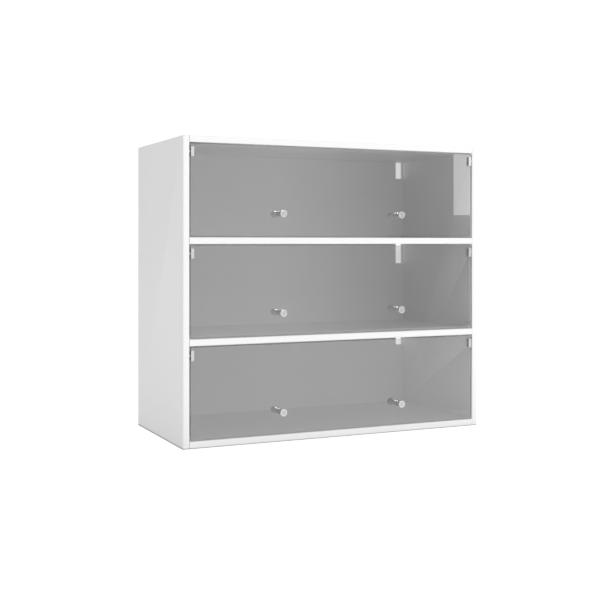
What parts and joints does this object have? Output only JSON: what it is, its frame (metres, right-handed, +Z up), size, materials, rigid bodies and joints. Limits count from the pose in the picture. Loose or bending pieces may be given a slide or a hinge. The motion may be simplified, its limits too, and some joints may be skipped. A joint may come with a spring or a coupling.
{
  "type": "bookcase",
  "caption": "White laminate bookcase of equal bays, each behind a lift-up tinted glass door hung on top corner pivots and opened by turned metal knobs.",
  "frame": {"origin": "centre of the case's footprint, on the plane it stands on", "axes": "+Z up, +X to the right seen from the front, the glass doors face -Y"},
  "size_m": [0.8, 0.3971, 0.72],
  "materials": {
    "white_laminate": "satin white melamine on chipboard",
    "back_laminate": "white-faced hardboard",
    "tinted_glass": "clear polished, grey tint, ground edges",
    "satin_metal": "satin chrome on zinc casting",
    "chrome": "bright satin, turned",
    "zinc_steel": "zinc plated",
    "nylon": "moulded nylon, natural white",
    "clear_plastic": "clear moulded plastic"
  },
  "bodies": {
    "case": {"left_side": "white_laminate", "right_side": "white_laminate", "top_panel": "white_laminate", "upper_shelf": "white_laminate", "lower_shelf": "white_laminate", "bottom_panel": "white_laminate", "upper_back_panel": "back_laminate", "middle_back_panel": "back_laminate", "lower_back_panel": "back_laminate", "upper_left_pivot_bush": "nylon", "upper_left_stop_peg": "clear_plastic", "upper_right_pivot_bush": "nylon", "upper_right_stop_peg": "clear_plastic", "middle_left_pivot_bush": "nylon", "middle_left_stop_peg": "clear_plastic", "middle_right_pivot_bush": "nylon", "middle_right_stop_peg": "clear_plastic", "lower_left_pivot_bush": "nylon", "lower_left_stop_peg": "clear_plastic", "lower_right_pivot_bush": "nylon", "lower_right_stop_peg": "clear_plastic"},
    "upper_door": {"upper_door_glass": "tinted_glass", "upper_left_hinge_clamp": "satin_metal", "upper_left_pivot_pin": "zinc_steel", "upper_left_clamp_screw": "zinc_steel", "upper_left_knob": "chrome", "upper_left_knob_washer": "nylon", "upper_left_knob_screw": "zinc_steel", "upper_right_hinge_clamp": "satin_metal", "upper_right_pivot_pin": "zinc_steel", "upper_right_clamp_screw": "zinc_steel", "upper_right_knob": "chrome", "upper_right_knob_washer": "nylon", "upper_right_knob_screw": "zinc_steel"},
    "middle_door": {"middle_door_glass": "tinted_glass", "middle_left_hinge_clamp": "satin_metal", "middle_left_pivot_pin": "zinc_steel", "middle_left_clamp_screw": "zinc_steel", "middle_left_knob": "chrome", "middle_left_knob_washer": "nylon", "middle_left_knob_screw": "zinc_steel", "middle_right_hinge_clamp": "satin_metal", "middle_right_pivot_pin": "zinc_steel", "middle_right_clamp_screw": "zinc_steel", "middle_right_knob": "chrome", "middle_right_knob_washer": "nylon", "middle_right_knob_screw": "zinc_steel"},
    "lower_door": {"lower_door_glass": "tinted_glass", "lower_left_hinge_clamp": "satin_metal", "lower_left_pivot_pin": "zinc_steel", "lower_left_clamp_screw": "zinc_steel", "lower_left_knob": "chrome", "lower_left_knob_washer": "nylon", "lower_left_knob_screw": "zinc_steel", "lower_right_hinge_clamp": "satin_metal", "lower_right_pivot_pin": "zinc_steel", "lower_right_clamp_screw": "zinc_steel", "lower_right_knob": "chrome", "lower_right_knob_washer": "nylon", "lower_right_knob_screw": "zinc_steel"}
  },
  "joints": [
    {"name": "upper_door_hinge", "type": "hinge", "parent": "case", "child": "upper_door", "pos_m": [0, -0.1795, 0.6825], "axis": [-1, 0, 0], "range_deg": [0, 90]},
    {"name": "middle_door_hinge", "type": "hinge", "parent": "case", "child": "middle_door", "pos_m": [0, -0.1795, 0.44783], "axis": [-1, 0, 0], "range_deg": [0, 90]},
    {"name": "lower_door_hinge", "type": "hinge", "parent": "case", "child": "lower_door", "pos_m": [0, -0.1795, 0.21317], "axis": [-1, 0, 0], "range_deg": [0, 90]}
  ]
}
